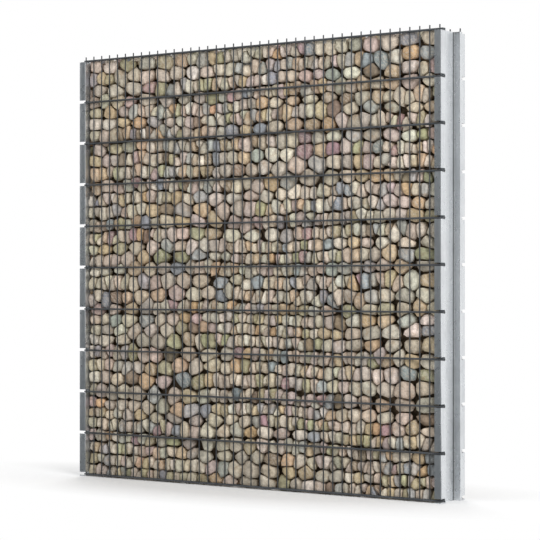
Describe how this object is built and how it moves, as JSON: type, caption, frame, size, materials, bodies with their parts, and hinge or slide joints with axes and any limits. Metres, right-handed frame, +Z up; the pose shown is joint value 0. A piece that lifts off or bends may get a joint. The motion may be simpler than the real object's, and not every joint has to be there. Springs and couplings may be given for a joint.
{
  "type": "gabion wall bay",
  "caption": "Stone-filled gabion fence wall bay with comb-slotted galvanised sheet posts and anthracite double-wire mesh mats.",
  "frame": {"origin": "at ground level under the middle of the bay, half way between the two posts and between the front and back faces", "axes": "+X along the wall, towards the post with the open recess; -Y the front face; +Z up"},
  "size_m": [2.049, 0.2, 2.03],
  "materials": {
    "galvanised_post": "hot-dip galvanised, dull",
    "anthracite_mesh": "powder coated, satin anthracite grey",
    "stone_fill": "rounded mixed quarry pebbles, dry"
  },
  "bodies": {
    "root": {"post_left": "galvanised_post", "post_right": "galvanised_post", "front_mat_bottom": "anthracite_mesh", "front_mat_lower": "anthracite_mesh", "front_mat_upper": "anthracite_mesh", "front_mat_top": "anthracite_mesh", "back_mat_bottom": "anthracite_mesh", "back_mat_lower": "anthracite_mesh", "back_mat_upper": "anthracite_mesh", "back_mat_top": "anthracite_mesh", "stone_lift_01": "stone_fill", "stone_lift_02": "stone_fill", "stone_lift_03": "stone_fill", "stone_lift_04": "stone_fill", "stone_lift_05": "stone_fill", "stone_lift_06": "stone_fill", "stone_lift_07": "stone_fill", "stone_lift_08": "stone_fill", "stone_lift_09": "stone_fill", "stone_lift_10": "stone_fill", "stone_recess_fill": "stone_fill"}
  },
  "joints": []
}
